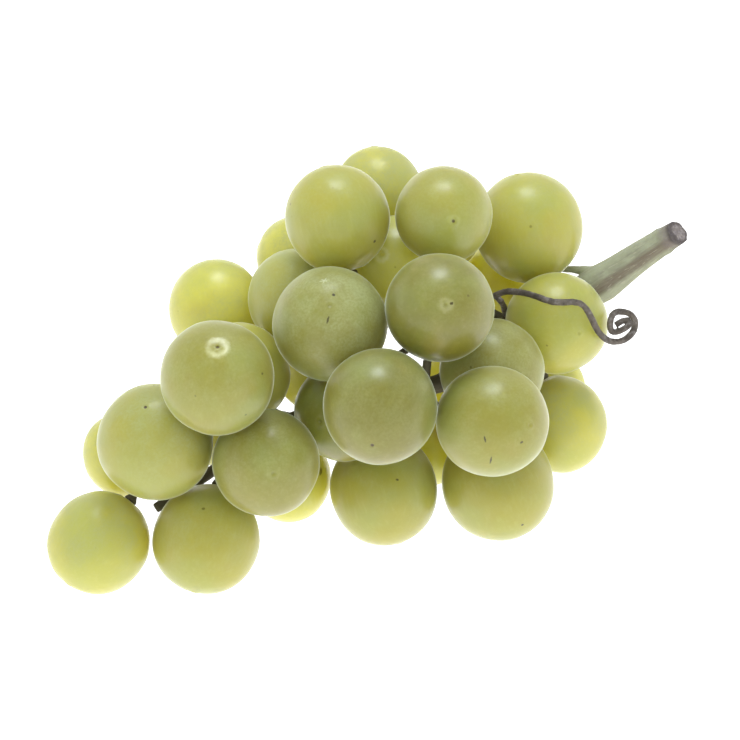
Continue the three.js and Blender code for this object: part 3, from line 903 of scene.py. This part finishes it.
class GRAPES_OT_stage(bpy.types.Operator):
    """Adds the glowing white floor, the soft light and the camera"""

    bl_idname = "grapes.stage"
    bl_label = "Stage"

    def execute(self, context):
        settings = context.scene.grape_stage
        add_floor(settings)
        add_lights(settings)
        add_camera()
        return {"FINISHED"}


# The stage, in metres and degrees.
FLOOR_REACH = 3.0
LAMP_DISTANCE = 0.7
OVERHEAD_LEAN, OVERHEAD_SIZE = 114, 0.26
FILL_LEAN, FILL_SIZE = 48, 0.45
CEILING_HEIGHT = 0.7  # the sine of the angle from which the surround is as dim as overhead
SENSOR_WIDTH = 36  # millimetres


def add_floor(settings):
    signs = ((-1, -1), (1, -1), (1, 1), (-1, 1))
    floor_corners = [(x * FLOOR_REACH, y * FLOOR_REACH, 0) for x, y in signs]
    mesh = bpy.data.meshes.new("floor")
    mesh.from_pydata(floor_corners, [], [(0, 1, 2, 3)])
    floor = bpy.data.objects.new("floor", mesh)
    bpy.context.collection.objects.link(floor)
    shader = Shader(
        "floor_white",
        Roughness=0.9,
        Specular_IOR_Level=0.0,
        Base_Color=(*settings.floor, 1),
        Emission_Color=(1, 1, 1, 1),
        Emission_Strength=settings.glow,
    )
    mesh.materials.append(shader.material)


def add_lights(settings):
    """A white surround that dims overhead, a soft light above and a wide, dull one in front."""
    world = bpy.data.worlds.new("white_surround")
    bpy.context.scene.world = world
    world.use_nodes = True
    nodes = Nodes(world.node_tree)
    direction = nodes.node("ShaderNodeTexCoord", output="Generated")
    height = nodes.node("ShaderNodeSeparateXYZ", None, (direction,), output="Z")
    fade = nodes.node("ShaderNodeMapRange", None, {
        "Value": height,
        "From Max": CEILING_HEIGHT,
        "To Min": settings.surround,
        "To Max": settings.ceiling,
    })
    background = world.node_tree.nodes["Background"]
    background.inputs["Color"].default_value = (1, 1, 1, 1)
    world.node_tree.links.new(fade.output, background.inputs["Strength"])
    add_lamp("overhead", OVERHEAD_LEAN, OVERHEAD_SIZE, settings.overhead)
    fill = add_lamp("fill", FILL_LEAN, FILL_SIZE, settings.fill)
    fill.visible_glossy = False


def add_lamp(name, lean, size, power):
    """A square lamp whose lean is its angle from the table in front, over the top to the back."""
    lamp = bpy.data.lights.new(name, "AREA")
    lamp.shape = "SQUARE"
    lamp.size = size
    lamp.energy = power
    lamp.color = LAMP_COLOUR
    light = bpy.data.objects.new(name, lamp)
    bpy.context.collection.objects.link(light)
    flat = Vector((TOWARD.x, TOWARD.y, 0)).normalized()
    angle = math.radians(lean)
    way = flat * math.cos(angle) + Vector((0, 0, 1)) * math.sin(angle)
    light.location = VIEW_MIDDLE + way * LAMP_DISTANCE
    light.rotation_euler = way.to_track_quat("Z", "Y").to_euler()
    return light


def add_camera():
    data = bpy.data.cameras.new("camera")
    data.sensor_width = SENSOR_WIDTH
    data.lens = SENSOR_WIDTH * VIEW_DISTANCE / VIEW_WIDTH
    camera = bpy.data.objects.new("camera", data)
    bpy.context.collection.objects.link(camera)
    camera.location = VIEW_MIDDLE + TOWARD * VIEW_DISTANCE
    camera.rotation_euler = TOWARD.to_track_quat("Z", "Y").to_euler()
    bpy.context.scene.camera = camera
    bpy.context.scene.view_settings.view_transform = "Standard"


class GRAPES_PT_panel(bpy.types.Panel):
    bl_label = "Bunch of Grapes"
    bl_idname = "GRAPES_PT_panel"
    bl_space_type = "VIEW_3D"
    bl_region_type = "UI"
    bl_category = "Grapes"

    def draw(self, context):
        for title, settings, operators in (
            ("Berries", context.scene.grape_berries, ("grapes.berries",)),
            ("Stalk", context.scene.grape_stalk, ("grapes.stalk", "grapes.tendril")),
            ("Stage", context.scene.grape_stage, ("grapes.stage",)),
        ):
            box = self.layout.box()
            box.label(text=title)
            for name in settings.__annotations__:
                box.prop(settings, name)
            for operator in operators:
                box.operator(operator)


CLASSES = (
    BerrySettings, StalkSettings, StageSettings,
    GRAPES_OT_berries, GRAPES_OT_stalk, GRAPES_OT_tendril, GRAPES_OT_stage,
    GRAPES_PT_panel,
)


def register():
    for cls in CLASSES:
        bpy.utils.register_class(cls)
    bpy.types.Scene.grape_berries = bpy.props.PointerProperty(type=BerrySettings)
    bpy.types.Scene.grape_stalk = bpy.props.PointerProperty(type=StalkSettings)
    bpy.types.Scene.grape_stage = bpy.props.PointerProperty(type=StageSettings)


def unregister():
    del bpy.types.Scene.grape_stage
    del bpy.types.Scene.grape_stalk
    del bpy.types.Scene.grape_berries
    for cls in reversed(CLASSES):
        bpy.utils.unregister_class(cls)


def main():
    register()
    bpy.ops.grapes.stage()
    bpy.ops.grapes.berries()
    bpy.ops.grapes.stalk()
    bpy.ops.grapes.tendril()


if __name__ == "__main__":
    main()
